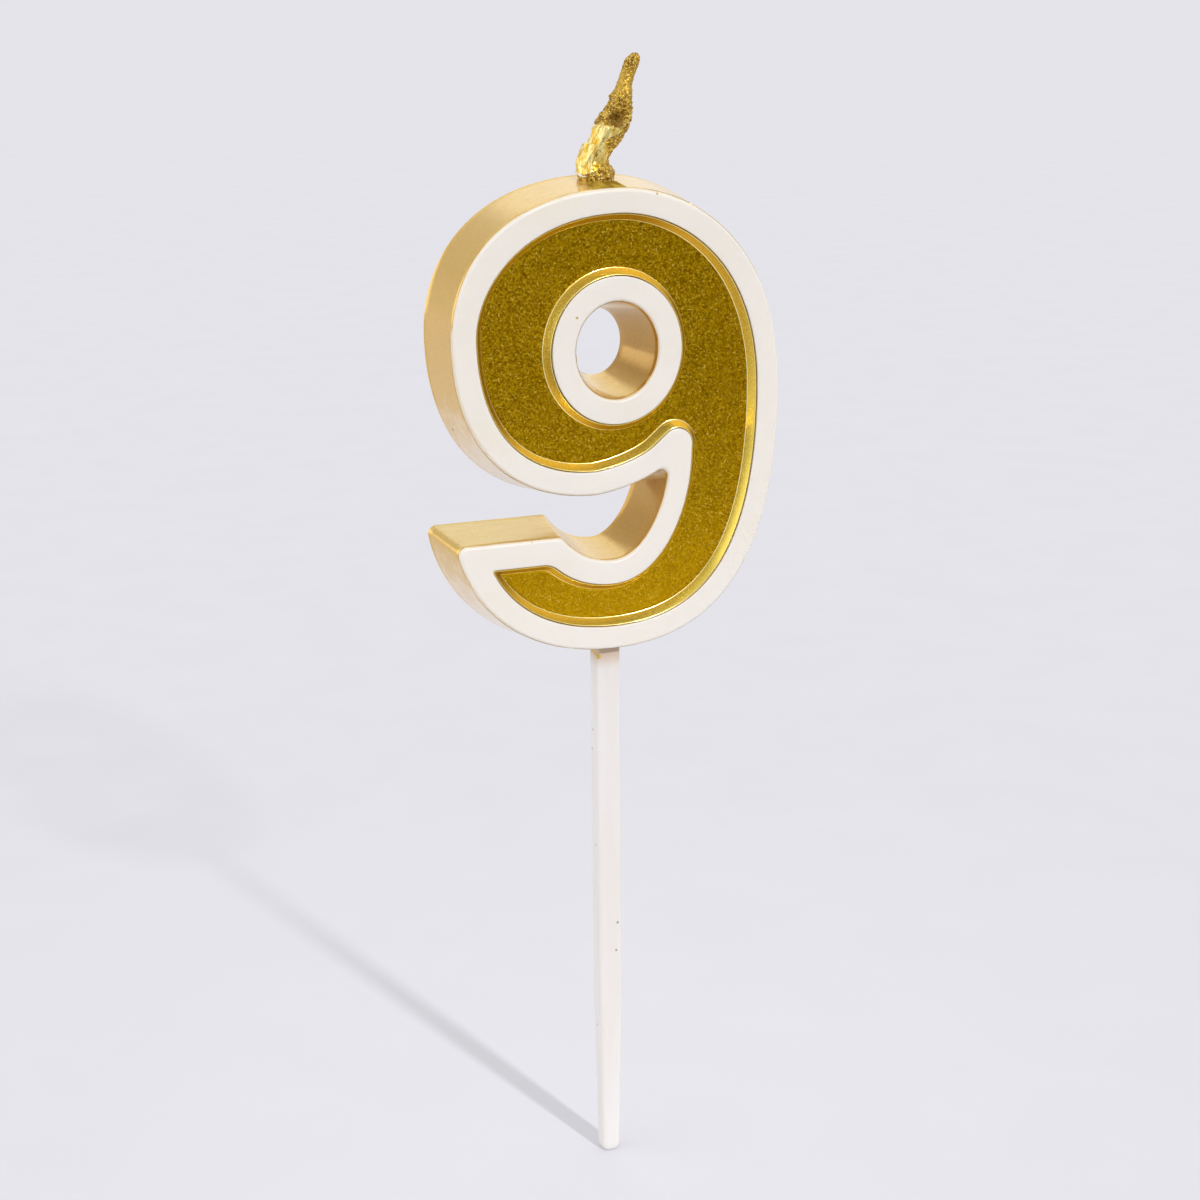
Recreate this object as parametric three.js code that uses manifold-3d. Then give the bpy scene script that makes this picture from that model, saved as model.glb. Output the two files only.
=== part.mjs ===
// A number candle shaped like the digit 9, on a plastic pick that is pushed into a cake.
// Millimetres, +Z up. The digit faces -Y, X runs to the reader's right and Y into its depth.
// The origin is the middle of the pick's flat tip; the digit's mid depth lies on Y = 0.
import * as THREE from 'three';
import { mergeVertices } from 'three/addons/utils/BufferGeometryUtils.js';
import Module from 'manifold-3d';

// Digit, widths of its strokes and its openings, on the front face
const counterWidth = 10.4;
const counterHeight = 11.6;
const leftBand = 15;
const rightBand = 15.7;
const crownBand = 13;
const bowlBand = 11.3;
const footBand = 11.1;
const stemBand = 14.3;
const tailHeight = 14.5;
const tailLength = 13.1;
const throatGap = 4.8;
const counterShift = 0.4;
const crownShift = 0.7;
const footShift = 0;
const bowlShift = -2.6;
const pocketShift = -0.3;
const tailSweep = 20;
const throatRise = 3.3;
const leftSwell = 19.4;
const rightSwell = 30.7;

// How far the outline keeps to its direction as it leaves or reaches these places
const throatPull = 3.9;
const bowlPull = 1.1;
const footPull = 13.8;
const tipPull = 5.5;
const heelPull = 3;
const pocketPull = 2.6;
const pocketRisePull = 3.9;
const stemPull = 5.7;

// Depths
const digitDepth = 8.3;
const sideDraft = 1.05;
const counterDraft = 1.7;
const borderDepth = 0.95;
const recessDepth = 1.3;
const panelThickness = 0.45;
const lipDrop = 0.12;

// Borders and edges
const borderWidth = 2.8;
const counterBorderWidth = 2.95;
const borderRounding = 0.4;
const backRounding = 0.4;
const lipWidth = 0.2;
const wallRun = 1.0;

// How much wider than that the border is in places, and how much flatter its inner edge at the shoulders
const tailExtra = 0.35;
const tipExtra = 0.5;
const pocketExtra = 0.15;
const leftFlattening = 0.1;
const rightFlattening = 0.03;

// Wick
const wickShift = -0.1;
const wickDepth = 5.6;
const wickSeat = 8;
const wickHeight = 14.2;
const wickLean = 5;
const coreRadius = 0.9;
const tipRadius = 0.4;
const bareTip = 0.9;
const coatThickness = 0.9;
const coatEdge = 0.2;
const collarHeight = 1.3;
const collarRadius = 2.35;
const lowerCoatLength = 4.7;

// Pick
const pickLength = 70;
const pickWidth = 3.1;
const pickCorner = 0.7;
const pickSeat = 7.5;
const pickTaper = 22;
const pickEndWidth = 2.4;
const pickTipWidth = 1.5;
const pickTipRound = 1.2;

// Fits
const fitGap = 0.3;

const colours = {
  wax: 0xebe4dc,
  champagne: 0xcdb06f,
  panel: 0x8a6806,
  foil: 0xc09a3a,
  crumble: 0xa8812f,
  plastic: 0xede6e1,
};

// Places worked out from the sizes, all on the front face
const tailTop = pickLength + tailHeight;
const bowlBottom = tailTop + throatGap;
const counterCentre = new THREE.Vector2(counterShift, bowlBottom + bowlBand + counterHeight / 2);
const crownTop = counterCentre.y + counterHeight / 2 + crownBand;
const leftEdge = counterShift - counterWidth / 2 - leftBand;
const rightEdge = counterShift + counterWidth / 2 + rightBand;
const pocketBottom = pickLength + footBand;
const panelSeat = recessDepth + panelThickness;

const point = (x, z) => new THREE.Vector2(x, z);

// A quarter turn between two places where the outline runs level or upright.
// The fullness of each end is 0.55 on an ellipse and more on a squarer turn.
function quarterTurn(from, to, startsLevel, startFullness, endFullness) {
  const reach = to.clone().sub(from);
  const startHandle = startsLevel ? point(reach.x, 0) : point(0, reach.y);
  const endHandle = startsLevel ? point(0, reach.y) : point(reach.x, 0);
  return new THREE.CubicBezierCurve(
    from,
    from.clone().addScaledVector(startHandle, startFullness),
    to.clone().addScaledVector(endHandle, -endFullness),
    to,
  );
}

// A stretch that leaves one place and reaches the next along given directions in degrees.
function sweep(from, startAngle, startPull, to, endAngle, endPull) {
  const heading = (angle) => point(Math.cos(angle), Math.sin(angle));
  const start = heading(THREE.MathUtils.degToRad(startAngle));
  const end = heading(THREE.MathUtils.degToRad(endAngle));
  return new THREE.CubicBezierCurve(
    from,
    from.clone().addScaledVector(start, startPull),
    to.clone().addScaledVector(end, -endPull),
    to,
  );
}

// The outline's three sides between its three corners, clockwise with the wax on the right.
// The share goes from 0 on the outline itself to 1 on the panel's edge, where the border's extras count.
function digitSides(share) {
  const throat = point(rightEdge - stemBand, bowlBottom + throatRise);
  const bowl = point(bowlShift, bowlBottom);
  const left = point(leftEdge, bowlBottom + leftSwell);
  const crown = point(crownShift, crownTop);
  const right = point(rightEdge, pickLength + rightSwell);
  const foot = point(footShift, pickLength);
  const tailTip = point(-tailSweep + tipExtra * share, tailTop - tailExtra * share);
  const tailHeel = point(-tailSweep + tailLength, tailTop - tailExtra * share);
  const pocket = point(pocketShift, pocketBottom - pocketExtra * share);
  const around = [
    sweep(throat, 220, throatPull, bowl, 180, bowlPull),
    quarterTurn(bowl, left, true, 0.58, 0.67),
    quarterTurn(left, crown, false, 0.43, 0.78 - leftFlattening * share),
    quarterTurn(crown, right, true, 0.43 - rightFlattening * share, 0.74),
    quarterTurn(right, foot, false, 0.58, 0.75),
    sweep(foot, 180, footPull, tailTip, 100, tipPull),
  ];
  const tail = [new THREE.LineCurve(tailTip, tailHeel)];
  const inside = [
    sweep(tailHeel, -52, heelPull, pocket, 0, pocketPull),
    sweep(pocket, 0, pocketRisePull, throat, 87, stemPull),
  ];
  return { around, tail, inside };
}

const beyondEnd = 10;

// A place on a side, pushed into the wax by the inset. Past its ends a side runs on straight.
function sidePlace(side, station, inset) {
  const inRange = THREE.MathUtils.clamp(station, 0, side.length);
  const piece = Math.min(Math.floor(inRange), side.length - 1);
  const place = side[piece].getPoint(inRange - piece);
  const tangent = side[piece].getTangent(inRange - piece);
  place.addScaledVector(tangent, (station - inRange) * beyondEnd);
  return place.addScaledVector(point(tangent.y, -tangent.x), inset);
}

// The stations where two neighbouring sides cross once both are pushed in by the inset.
function crossing(before, after, inset) {
  const step = 1e-4;
  const largestMove = 0.2;
  const stations = [before.length, 0];
  for (let round = 0; round < 60; round++) {
    const onBefore = sidePlace(before, stations[0], inset);
    const onAfter = sidePlace(after, stations[1], inset);
    const gap = onAfter.clone().sub(onBefore);
    const alongBefore = sidePlace(before, stations[0] + step, inset).sub(onBefore).divideScalar(step);
    const alongAfter = sidePlace(after, stations[1] + step, inset).sub(onAfter).divideScalar(step);
    const turn = alongBefore.cross(alongAfter);
    stations[0] += THREE.MathUtils.clamp(gap.cross(alongAfter) / turn, -largestMove, largestMove);
    stations[1] += THREE.MathUtils.clamp(gap.cross(alongBefore) / turn, -largestMove, largestMove);
  }
  return stations;
}

// A rounded corner: the stations where it leaves and meets its sides, and the places on its arc.
// A corner that points out of the wax is rounded from inside, the throat's from outside.
function roundedCorner(before, after, inset, radius, pointsOut) {
  const steps = 8;
  const centreInset = inset + (pointsOut ? radius : -radius);
  const [leaves, meets] = crossing(before, after, centreInset);
  const centre = sidePlace(before, leaves, centreInset);
  const from = sidePlace(before, leaves, inset).sub(centre);
  const to = sidePlace(after, meets, inset).sub(centre);
  const turn = Math.atan2(from.cross(to), from.dot(to));
  const arc = [];
  for (let i = 1; i < steps; i++) {
    arc.push(from.clone().rotateAround(point(0, 0), (turn * i) / steps).add(centre));
  }
  return { leaves, meets, arc };
}

function sideRun(side, from, to, inset, count) {
  const places = [];
  for (let i = 0; i <= count; i++) {
    places.push(sidePlace(side, from + ((to - from) * i) / count, inset));
  }
  return places;
}

// Corner radii on the outline itself and on the panel's edge
const edgeRadii = { tailTip: 1.0, tailHeel: 0.9, throat: 0.9 };
const panelRadii = { tailTip: 0.7, tailHeel: 2.8, throat: 1.9 };

// The whole outline at one inset, as a closed ring of places.
function digitRing(inset) {
  const share = THREE.MathUtils.clamp(inset / borderWidth, 0, 1);
  const sides = digitSides(share);
  const radius = (corner) => THREE.MathUtils.lerp(edgeRadii[corner], panelRadii[corner], share);
  const tip = roundedCorner(sides.around, sides.tail, inset, radius('tailTip'), true);
  const heel = roundedCorner(sides.tail, sides.inside, inset, radius('tailHeel'), true);
  const throat = roundedCorner(sides.inside, sides.around, inset, radius('throat'), false);
  return [
    ...sideRun(sides.around, throat.meets, tip.leaves, inset, 84),
    ...tip.arc,
    ...sideRun(sides.tail, tip.meets, heel.leaves, inset, 1),
    ...heel.arc,
    ...sideRun(sides.inside, heel.meets, throat.leaves, inset, 24),
    ...throat.arc,
  ];
}

// The counter, the digit's round opening, grown into the wax by the inset.
function counterRing(inset) {
  const steps = 64;
  const halfWidth = counterWidth / 2;
  const halfHeight = counterHeight / 2;
  const places = [];
  for (let i = 0; i < steps; i++) {
    const angle = (i / steps) * 2 * Math.PI;
    const across = Math.cos(angle);
    const up = Math.sin(angle);
    const normal = point(across / halfWidth, up / halfHeight).normalize();
    places.push(point(across * halfWidth, up * halfHeight).addScaledVector(normal, inset).add(counterCentre));
  }
  return places;
}

// How far each outer wall has drifted out, and the counter's wall in, at a depth behind the front.
const sideInset = (depth) => (-sideDraft * depth) / digitDepth;
const counterInset = (depth) => (-counterDraft * depth) / digitDepth;

// Quarter round from a wall to a flat face, as steps of [inset, depth] inside the unit corner.
function edgeArc(radius) {
  const steps = 4;
  const places = [];
  for (let i = 0; i <= steps; i++) {
    const angle = ((i / steps) * Math.PI) / 2;
    places.push([radius * (1 - Math.cos(angle)), radius * (1 - Math.sin(angle))]);
  }
  return places;
}

// Triangles between rings of equal counts, from vertex lists laid ring by ring.
function wallFaces(ringCount, pointCount, firstVertex, closed) {
  const faces = [];
  const spans = closed ? ringCount : ringCount - 1;
  for (let ring = 0; ring < spans; ring++) {
    const here = firstVertex + ring * pointCount;
    const next = firstVertex + ((ring + 1) % ringCount) * pointCount;
    for (let i = 0; i < pointCount; i++) {
      const j = (i + 1) % pointCount;
      faces.push(here + i, next + i, here + j);
      faces.push(here + j, next + i, next + j);
    }
  }
  return faces;
}

function solidGeometry(positions, faces) {
  const geometry = new THREE.BufferGeometry();
  geometry.setAttribute('position', new THREE.Float32BufferAttribute(positions, 3));
  geometry.setIndex(faces);
  return faceOutward(geometry);
}

function signedVolume(geometry) {
  const position = geometry.getAttribute('position');
  const index = geometry.getIndex();
  const [a, b, c] = [new THREE.Vector3(), new THREE.Vector3(), new THREE.Vector3()];
  let volume = 0;
  for (let i = 0; i < index.count; i += 3) {
    a.fromBufferAttribute(position, index.getX(i));
    b.fromBufferAttribute(position, index.getX(i + 1));
    c.fromBufferAttribute(position, index.getX(i + 2));
    volume += a.dot(b.cross(c)) / 6;
  }
  return volume;
}

function faceOutward(geometry) {
  if (signedVolume(geometry) < 0) {
    const index = geometry.getIndex();
    for (let i = 0; i < index.count; i += 3) {
      const first = index.getX(i);
      index.setX(i, index.getX(i + 1));
      index.setX(i + 1, first);
    }
  }
  return geometry;
}

// Lays a ring of [x, z] places at a depth behind the front face.
function layRing(ring, depth) {
  return ring.flatMap((place) => [place.x, depth - digitDepth / 2, place.y]);
}

// A band swept round a ring: its profile is a closed list of [inset, depth].
function bandSolid(ringAt, profile) {
  const rings = profile.map(([inset]) => ringAt(inset));
  const positions = rings.flatMap((ring, i) => layRing(ring, profile[i][1]));
  return solidGeometry(positions, wallFaces(profile.length, rings[0].length, 0, true));
}

// A plate with an outer wall and a counter wall, each an open list of [inset, depth], front to back.
function plateSolid(outerProfile, counterProfile) {
  const outer = outerProfile.map(([inset]) => digitRing(inset));
  const inner = counterProfile.map(([inset]) => counterRing(inset));
  const outerCount = outer[0].length;
  const innerCount = inner[0].length;
  const innerStart = outer.length * outerCount;
  const lastOuter = innerStart - outerCount;
  const lastInner = innerStart + (inner.length - 1) * innerCount;
  const positions = [
    ...outer.flatMap((ring, i) => layRing(ring, outerProfile[i][1])),
    ...inner.flatMap((ring, i) => layRing(ring, counterProfile[i][1])),
  ];
  const faces = [
    ...wallFaces(outer.length, outerCount, 0, false),
    ...wallFaces(inner.length, innerCount, innerStart, false),
    ...capFaces(outer[0], inner[0], 0, innerStart, true),
    ...capFaces(outer.at(-1), inner.at(-1), lastOuter, lastInner, false),
  ];
  return solidGeometry(positions, faces);
}

// Fills the face between an outline ring and the rings inside it, all turned the same way.
function capFaces(outline, counter, outlineStart, counterStart, clockwise) {
  const places = [...outline, ...counter];
  const vertexOf = (i) => (i < outline.length ? outlineStart + i : counterStart + i - outline.length);
  const triangles = THREE.ShapeUtils.triangulateShape(outline, [counter]);
  const areaOf = (corners) => THREE.ShapeUtils.area(corners.map((i) => places[i]));
  const wholeArea = triangles.reduce((sum, corners) => sum + areaOf(corners), 0);
  const turned = wholeArea < 0 === clockwise;
  return triangles.flatMap(([a, b, c]) => (turned ? [a, b, c] : [a, c, b]).map(vertexOf));
}

// A solid through rings of 3D places, closed at both ends by fans.
function ringSolid(rings) {
  const count = rings[0].length;
  const faces = wallFaces(rings.length, count, 0, false);
  const last = (rings.length - 1) * count;
  for (let i = 1; i < count - 1; i++) {
    faces.push(0, i, i + 1);
    faces.push(last, last + i + 1, last + i);
  }
  const positions = rings.flatMap((ring) => ring.flatMap((place) => place.toArray()));
  return solidGeometry(positions, faces);
}

// A hollow sleeve through pairs of rings: out along the outer rings and back along the inner ones.
function sleeveSolid(outerRings, innerRings) {
  const rings = [...outerRings, ...innerRings.reverse()];
  const positions = rings.flatMap((ring) => ring.flatMap((place) => place.toArray()));
  return solidGeometry(positions, wallFaces(rings.length, rings[0].length, 0, true));
}

const wasm = await Module();
wasm.setup();

function toManifold(geometry) {
  const bare = new THREE.BufferGeometry();
  bare.setAttribute('position', geometry.getAttribute('position'));
  bare.setIndex(geometry.getIndex());
  const merged = mergeVertices(bare, 1e-5);
  return new wasm.Manifold(
    new wasm.Mesh({
      numProp: 3,
      vertProperties: new Float32Array(merged.getAttribute('position').array),
      triVerts: new Uint32Array(merged.getIndex().array),
    }),
  );
}

function fromManifold(solid) {
  const mesh = solid.getMesh();
  const geometry = new THREE.BufferGeometry();
  geometry.setAttribute('position', new THREE.Float32BufferAttribute(mesh.vertProperties, 3));
  geometry.setIndex(Array.from(mesh.triVerts));
  return geometry;
}

function cutAway(geometry, tools) {
  let solid = toManifold(geometry);
  for (const tool of tools) {
    solid = solid.subtract(toManifold(tool));
  }
  return fromManifold(solid);
}

// The gold panel's tray: the wall that climbs from its floor to the lip beside the border.
const lipOuter = fitGap;
const lipInner = fitGap + lipWidth;
const trayFlare = (depth) => ((wallRun - lipInner) * (depth - lipDrop)) / (recessDepth - lipDrop);
const trayProfile = (width) => [
  [width + wallRun, recessDepth],
  [width + lipInner, lipDrop],
  [width + lipOuter, lipDrop],
  [width + lipOuter + trayFlare(panelSeat), panelSeat],
];

// The pocket in the wax behind the tray, from its floor up to the ledge that carries the border.
const pocketProfile = (width) => [
  [width + trayFlare(panelSeat), panelSeat],
  [width + trayFlare(borderDepth), borderDepth],
];

function waxPlate() {
  const backWall = sideInset(digitDepth);
  const outerWall = [
    [sideInset(borderDepth), borderDepth],
    ...edgeArc(backRounding).map(([inset, rise]) => [backWall + inset, digitDepth - rise]),
  ];
  const counterWall = [
    [counterInset(borderDepth), borderDepth],
    [counterInset(digitDepth), digitDepth],
  ];
  return plateSolid(
    [...pocketProfile(borderWidth), ...outerWall],
    [...pocketProfile(counterBorderWidth), ...counterWall],
  );
}

function borderProfile(width, wallInset) {
  return [
    [wallInset(borderDepth), borderDepth],
    ...edgeArc(borderRounding),
    [width, 0],
    [width, borderDepth],
  ];
}

const outerBorder = () => bandSolid(digitRing, borderProfile(borderWidth, sideInset));
const counterBorder = () => bandSolid(counterRing, borderProfile(counterBorderWidth, counterInset));
const goldPanel = () => plateSolid(trayProfile(borderWidth), trayProfile(counterBorderWidth));

// A level ring of places around a centre.
function levelRing(centre, radius, steps) {
  const places = [];
  for (let i = 0; i < steps; i++) {
    const angle = (i / steps) * 2 * Math.PI;
    const spoke = new THREE.Vector3(Math.cos(angle), Math.sin(angle), 0);
    places.push(spoke.multiplyScalar(radius).add(centre));
  }
  return places;
}

// The wick's line: upright in its bore, then a lean to the right that eases in above the collar.
const wickY = wickDepth - digitDepth / 2;
const wickBase = crownTop - sideInset(wickDepth);
const wickTop = wickBase + wickHeight;
const collarTop = wickBase + collarHeight;
const lowerCoatTop = collarTop + lowerCoatLength;
const upperCoatTop = wickTop - bareTip;
const wickSteps = 18;

// How far up the bare part of the wick a height lies, from 0 at the collar to 1 at the tip.
const wickShare = (z) => THREE.MathUtils.clamp((z - collarTop) / (wickTop - collarTop), 0, 1);

function wickCentre(z) {
  const easing = 1.1;
  return new THREE.Vector3(wickShift + wickLean * wickShare(z) ** easing, wickY, z);
}

const coreTaper = (z) => THREE.MathUtils.lerp(coreRadius, tipRadius, wickShare(z));

function heights(from, to, count) {
  return Array.from({ length: count + 1 }, (_, i) => from + ((to - from) * i) / count);
}

function wickCore() {
  const levels = [wickBase - wickSeat, ...heights(collarTop, wickTop, 12)];
  return ringSolid(levels.map((z) => levelRing(wickCentre(z), coreTaper(z), wickSteps)));
}

// A coat is a sleeve over the core that thins from its foot to its head.
function wickCoat(foot, head, footThickness, headThickness) {
  const thinning = 1.6;
  const levels = heights(foot, head, 8);
  const innerRadius = (z) => coreTaper(z) + fitGap;
  const outerRadius = (z) => {
    const left = ((head - z) / (head - foot)) ** thinning;
    return innerRadius(z) + THREE.MathUtils.lerp(headThickness, footThickness, left);
  };
  const outer = levels.map((z) => levelRing(wickCentre(z), outerRadius(z), wickSteps));
  const inner = levels.map((z) => levelRing(wickCentre(z), innerRadius(z), wickSteps));
  return sleeveSolid(outer, inner);
}

const lowerCoat = () => wickCoat(collarTop, lowerCoatTop, coatThickness, coatThickness);
const upperCoat = () => wickCoat(lowerCoatTop, upperCoatTop, coatThickness, coatEdge);

const boreSteps = 32;
const boreRadius = coreRadius + fitGap;

// The collar is a low blob of wax round the wick. Its underside slopes with the crown it sits on.
function wickCollar() {
  const seatGap = fitGap / 3;
  const shoulderShare = 0.5;
  const headShare = 0.8;
  const slope = sideDraft / digitDepth;
  const ringAt = (radius, z) => levelRing(new THREE.Vector3(wickShift, wickY, z), radius, boreSteps);
  const seatedRing = (radius) => {
    const ring = ringAt(radius, wickBase + seatGap);
    ring.forEach((place) => {
      place.z += (place.y - wickY) * slope;
    });
    return ring;
  };
  const shoulder = wickBase + collarHeight * shoulderShare;
  const outer = [
    seatedRing(collarRadius),
    ringAt(collarRadius, shoulder),
    ringAt(collarRadius * headShare, collarTop),
  ];
  const inner = [seatedRing(boreRadius), ringAt(boreRadius, shoulder), ringAt(boreRadius, collarTop)];
  return sleeveSolid(outer, inner);
}

// The bore that the wick stands in, from its floor up past the crown.
function wickBore() {
  const ringAt = (z) => levelRing(new THREE.Vector3(wickShift, wickY, z), boreRadius, boreSteps);
  return ringSolid([ringAt(wickBase - wickSeat), ringAt(wickBase + wickSeat)]);
}

// A level square ring with rounded corners, for the pick and its socket.
function squareRing(width, largestCorner, z) {
  const steps = 4;
  const corner = Math.min(largestCorner, 0.45 * width);
  const places = [];
  const half = width / 2 - corner;
  for (let quarter = 0; quarter < 4; quarter++) {
    for (let i = 0; i <= steps; i++) {
      const angle = ((quarter + i / steps) * Math.PI) / 2;
      const sideX = quarter === 0 || quarter === 3 ? half : -half;
      const sideY = quarter < 2 ? half : -half;
      places.push(new THREE.Vector3(sideX + corner * Math.cos(angle), sideY + corner * Math.sin(angle), z));
    }
  }
  return places;
}

const pickTop = pickLength + pickSeat;

// The pick, from its flat tip round into the taper and up to its full width.
function cakePick() {
  const tipSteps = 4;
  const rings = [];
  for (let i = 0; i < tipSteps; i++) {
    const angle = ((i / tipSteps) * Math.PI) / 2;
    const width = THREE.MathUtils.lerp(pickTipWidth, pickEndWidth, Math.sin(angle));
    rings.push(squareRing(width, pickCorner, pickTipRound * (1 - Math.cos(angle))));
  }
  rings.push(squareRing(pickEndWidth, pickCorner, pickTipRound));
  rings.push(squareRing(pickWidth, pickCorner, pickTaper));
  rings.push(squareRing(pickWidth, pickCorner, pickTop));
  return ringSolid(rings);
}

// The socket that the pick is pushed into, open at the digit's foot.
function pickSocket() {
  const mouth = pickLength - sideDraft - pickSeat;
  const ringAt = (z) => squareRing(pickWidth + 2 * fitGap, pickCorner + fitGap, z);
  return ringSolid([ringAt(mouth), ringAt(pickTop)]);
}

function finish(colour, roughness, metalness) {
  return new THREE.MeshStandardMaterial({ color: colour, roughness, metalness });
}

function addPiece(group, name, geometry, material) {
  geometry.computeVertexNormals();
  const mesh = new THREE.Mesh(geometry, material);
  mesh.name = name;
  group.add(mesh);
}

function numberCandle() {
  const candle = new THREE.Group();
  const body = cutAway(waxPlate(), [wickBore(), pickSocket()]);
  addPiece(candle, 'digit_body', body, finish(colours.champagne, 0.42, 0.5));
  addPiece(candle, 'outer_border', outerBorder(), finish(colours.wax, 0.45, 0));
  addPiece(candle, 'counter_border', counterBorder(), finish(colours.wax, 0.45, 0));
  addPiece(candle, 'gold_panel', goldPanel(), finish(colours.panel, 0.5, 0.7));
  addPiece(candle, 'wick_core', wickCore(), finish(colours.crumble, 0.8, 0.3));
  addPiece(candle, 'wick_lower_coat', lowerCoat(), finish(colours.foil, 0.35, 0.8));
  addPiece(candle, 'wick_upper_coat', upperCoat(), finish(colours.crumble, 0.7, 0.4));
  addPiece(candle, 'wick_collar', wickCollar(), finish(colours.foil, 0.5, 0.6));
  addPiece(candle, 'cake_pick', cakePick(), finish(colours.plastic, 0.4, 0));
  return candle;
}

export default numberCandle();
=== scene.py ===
"""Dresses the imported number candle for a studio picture. Metres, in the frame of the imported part."""

import math

import bmesh
import bpy
import numpy as np
from mathutils import Matrix, Vector, noise
from mathutils.geometry import tessellate_polygon


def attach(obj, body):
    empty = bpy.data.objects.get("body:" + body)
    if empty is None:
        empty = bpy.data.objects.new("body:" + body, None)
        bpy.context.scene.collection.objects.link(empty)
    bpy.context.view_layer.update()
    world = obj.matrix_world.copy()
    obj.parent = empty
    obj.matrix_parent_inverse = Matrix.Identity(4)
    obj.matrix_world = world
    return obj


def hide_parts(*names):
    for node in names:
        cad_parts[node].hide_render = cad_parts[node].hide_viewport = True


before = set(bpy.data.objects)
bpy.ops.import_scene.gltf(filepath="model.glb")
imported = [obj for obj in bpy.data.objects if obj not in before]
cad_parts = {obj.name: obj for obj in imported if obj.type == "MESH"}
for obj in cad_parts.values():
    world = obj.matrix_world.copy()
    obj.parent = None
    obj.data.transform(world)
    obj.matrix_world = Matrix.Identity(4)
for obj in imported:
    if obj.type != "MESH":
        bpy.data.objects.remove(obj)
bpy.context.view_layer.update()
MM = 0.001

# Sizes of the digit on its front face, in millimetres, as the solids have them
COUNTER_WIDTH = 10.4
COUNTER_HEIGHT = 11.6
LEFT_BAND = 15.0
RIGHT_BAND = 15.7
CROWN_BAND = 13.0
BOWL_BAND = 11.3
FOOT_BAND = 11.1
STEM_BAND = 14.3
TAIL_HEIGHT = 14.5
TAIL_LENGTH = 13.1
THROAT_GAP = 4.8
COUNTER_SHIFT = 0.4
CROWN_SHIFT = 0.7
FOOT_SHIFT = 0.0
BOWL_SHIFT = -2.6
POCKET_SHIFT = -0.3
TAIL_SWEEP = 20.0
THROAT_RISE = 3.3
LEFT_SWELL = 19.4
RIGHT_SWELL = 30.7
THROAT_PULL = 3.9
BOWL_PULL = 1.1
FOOT_PULL = 13.8
TIP_PULL = 5.5
HEEL_PULL = 3.0
POCKET_PULL = 2.6
POCKET_RISE_PULL = 3.9
STEM_PULL = 5.7
PICK_LENGTH = 70.0

# Depths, borders and edges
DIGIT_DEPTH = 8.3
SIDE_DRAFT = 1.05
COUNTER_DRAFT = 1.7
BORDER_WIDTH = 2.8
COUNTER_BORDER_WIDTH = 2.95
BORDER_ROUNDING = 0.4
BORDER_DEPTH = 0.95
BACK_ROUNDING = 0.4
RECESS_DEPTH = 1.3
WALL_RUN = 0.85

# How much wider the border is in places, and how much flatter its inner edge at the shoulders
TAIL_EXTRA = 0.35
TIP_EXTRA = 0.5
POCKET_EXTRA = 0.15
LEFT_FLATTENING = 0.1
RIGHT_FLATTENING = 0.03

# Radii of the outline's three corners, on the outline itself and on the panel's edge
EDGE_RADII = {"tail_tip": 1.0, "tail_heel": 0.9, "throat": 0.9}
PANEL_RADII = {"tail_tip": 0.3, "tail_heel": 2.8, "throat": 1.9}
SMALLEST_RADIUS = 0.1

# How far a side is drawn straight on for each step past its end
BEYOND_END = 10.0

# Wick
WICK_SHIFT = -0.1
WICK_DEPTH = 5.6
WICK_HEIGHT = 14.2

# Pick
PICK_WIDTH = 3.1
PICK_CORNER = 0.7
PICK_TAPER = 22.0
PICK_END_WIDTH = 2.4
PICK_TIP_WIDTH = 1.5
PICK_TIP_ROUND = 1.2
PICK_SEAT = 6.0

# Places worked out from the sizes
TAIL_TOP = PICK_LENGTH + TAIL_HEIGHT
BOWL_BOTTOM = TAIL_TOP + THROAT_GAP
COUNTER_CENTRE = np.array([COUNTER_SHIFT, BOWL_BOTTOM + BOWL_BAND + COUNTER_HEIGHT / 2])
CROWN_TOP = COUNTER_CENTRE[1] + COUNTER_HEIGHT / 2 + CROWN_BAND
LEFT_EDGE = COUNTER_SHIFT - COUNTER_WIDTH / 2 - LEFT_BAND
RIGHT_EDGE = COUNTER_SHIFT + COUNTER_WIDTH / 2 + RIGHT_BAND
WICK_Y = WICK_DEPTH - DIGIT_DEPTH / 2
WICK_FOOT = CROWN_TOP + SIDE_DRAFT * WICK_DEPTH / DIGIT_DEPTH


def heading(degrees):
    angle = math.radians(degrees)
    return np.array([math.cos(angle), math.sin(angle)])


def quarter_turn(start, end, starts_level, start_fullness, end_fullness):
    """Control points of a quarter turn between places where the outline runs level or upright."""
    reach = end - start
    across = np.array([reach[0], 0.0])
    upward = np.array([0.0, reach[1]])
    first, last = (across, upward) if starts_level else (upward, across)
    return [start, start + first * start_fullness, end - last * end_fullness, end]


def sweep(start, start_angle, start_pull, end, end_angle, end_pull):
    """Control points of a stretch that leaves and arrives along given directions."""
    return [start, start + heading(start_angle) * start_pull, end - heading(end_angle) * end_pull, end]


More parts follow.
